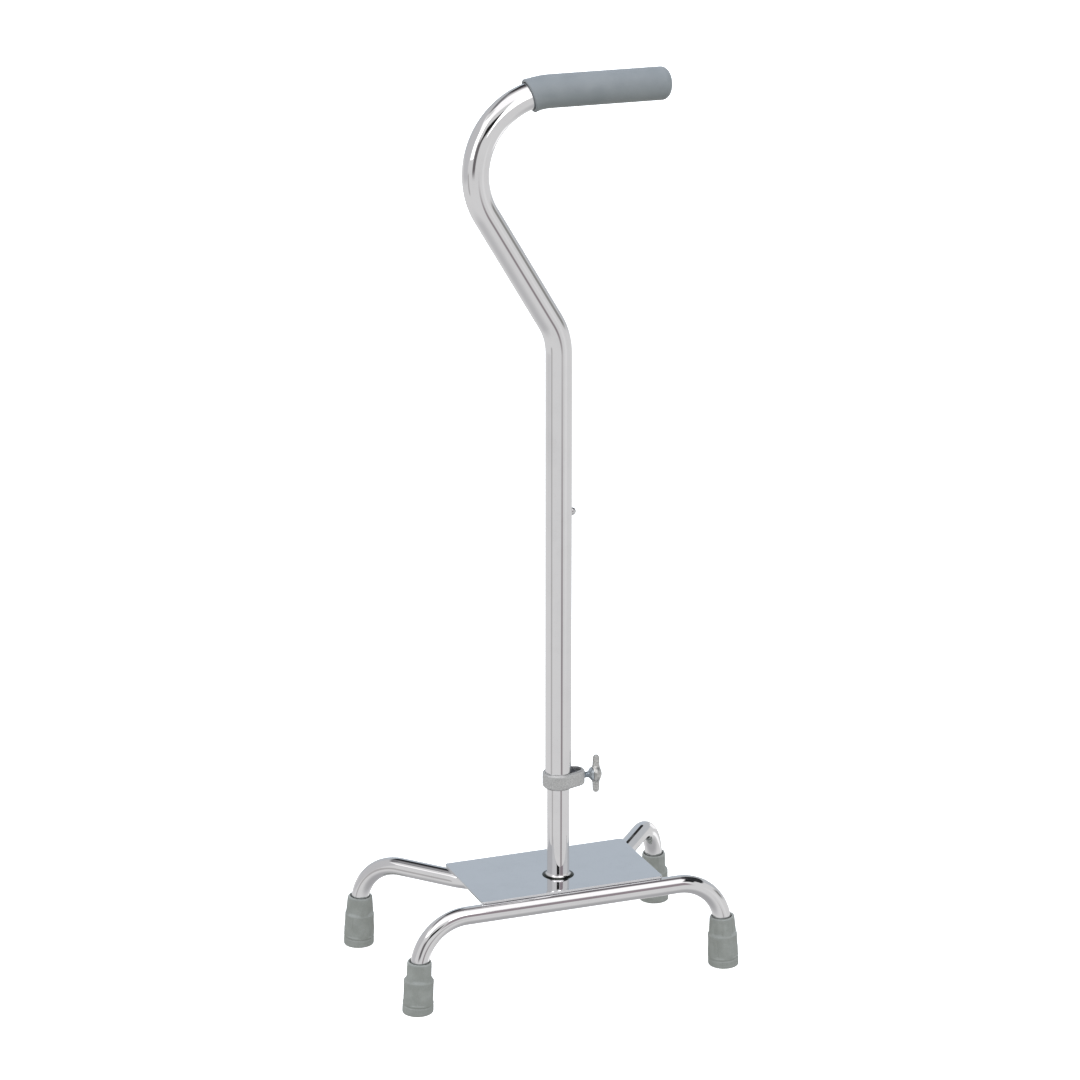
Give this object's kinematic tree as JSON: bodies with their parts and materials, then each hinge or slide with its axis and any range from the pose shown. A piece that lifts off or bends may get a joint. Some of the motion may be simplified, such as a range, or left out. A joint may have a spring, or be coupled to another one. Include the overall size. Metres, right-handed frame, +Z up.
{
  "type": "quad walking cane",
  "caption": "Height-adjustable walking cane with an offset handle on a low four-footed base, chrome-plated steel with rubber tips and a soft grip.",
  "frame": {"origin": "on the floor, in the middle of the four feet", "axes": "+Z up the shaft; +X along the base's long side, the way the handle points; +Y from the front feet to the rear feet"},
  "size_m": [0.305, 0.182, 0.7751],
  "materials": {
    "tube_chrome": "bright chrome plate on steel tube",
    "plate_chrome": "bright chrome plate on flat steel, slightly duller than the tubes",
    "collar_zinc": "matte grey cast metal, finely grained",
    "knob_zinc": "satin die-cast metal",
    "plated_steel": "bright bluish zinc plate on steel",
    "washer_steel": "zinc plate on steel",
    "spring_steel": "dull spring steel",
    "button_steel": "nickel-plated steel",
    "nylon": "natural nylon",
    "grip_vinyl": "soft moulded blue-grey vinyl, satin",
    "tip_rubber": "matte grey-green moulded rubber"
  },
  "bodies": {
    "base": {"base_plate": "plate_chrome", "front_leg_tube": "tube_chrome", "rear_leg_tube": "tube_chrome", "lower_tube": "tube_chrome", "lower_tube_cap": "nylon", "shaft_weld": "tube_chrome", "weld_front_left": "tube_chrome", "weld_front_right": "tube_chrome", "weld_rear_left": "tube_chrome", "weld_rear_right": "tube_chrome", "snap_spring": "spring_steel", "tip_front_left": "tip_rubber", "tip_front_right": "tip_rubber", "tip_rear_left": "tip_rubber", "tip_rear_right": "tip_rubber", "tip_washer_front_left": "washer_steel", "tip_washer_front_right": "washer_steel", "tip_washer_rear_left": "washer_steel", "tip_washer_rear_right": "washer_steel"},
    "glide": {"glide_bush": "nylon"},
    "handle": {"upper_tube": "tube_chrome", "grip": "grip_vinyl", "handle_plug": "nylon", "clamp_collar": "collar_zinc"},
    "shoe": {"clamp_shoe": "collar_zinc"},
    "screw": {"wing_screw": "plated_steel", "wing_knob": "knob_zinc"},
    "button": {"snap_button": "button_steel"}
  },
  "joints": [
    {"name": "height_slide", "type": "slide", "parent": "base", "child": "glide", "axis": [0, 0, 1], "range_m": [-0.0508, 0.1778], "deforming": ["snap_button", "snap_spring"]},
    {"name": "handle_swivel", "type": "hinge", "parent": "glide", "child": "handle", "pos_m": [0, -0.0429, 0.1725], "axis": [0, 0, 1], "range_deg": [0, 180]},
    {"name": "button_press", "type": "slide", "parent": "base", "child": "button", "axis": [-1, 0, 0], "range_m": [0, 0.0055], "stiffness_N_per_m": 1500, "springref_m": -0.002},
    {"name": "shoe_slide", "type": "slide", "parent": "handle", "child": "shoe", "axis": [1, 0, 0], "range_m": [0, 0.00201]},
    {"name": "wing_turn", "type": "hinge", "parent": "shoe", "child": "screw", "pos_m": [0.0235, -0.0429, 0.17625], "axis": [1, 0, 0], "range_deg": [0, 720]}
  ],
  "couplings": [
    {"joint": "shoe_slide", "follows": "wing_turn", "m_per_rad": 0.00015915}
  ]
}
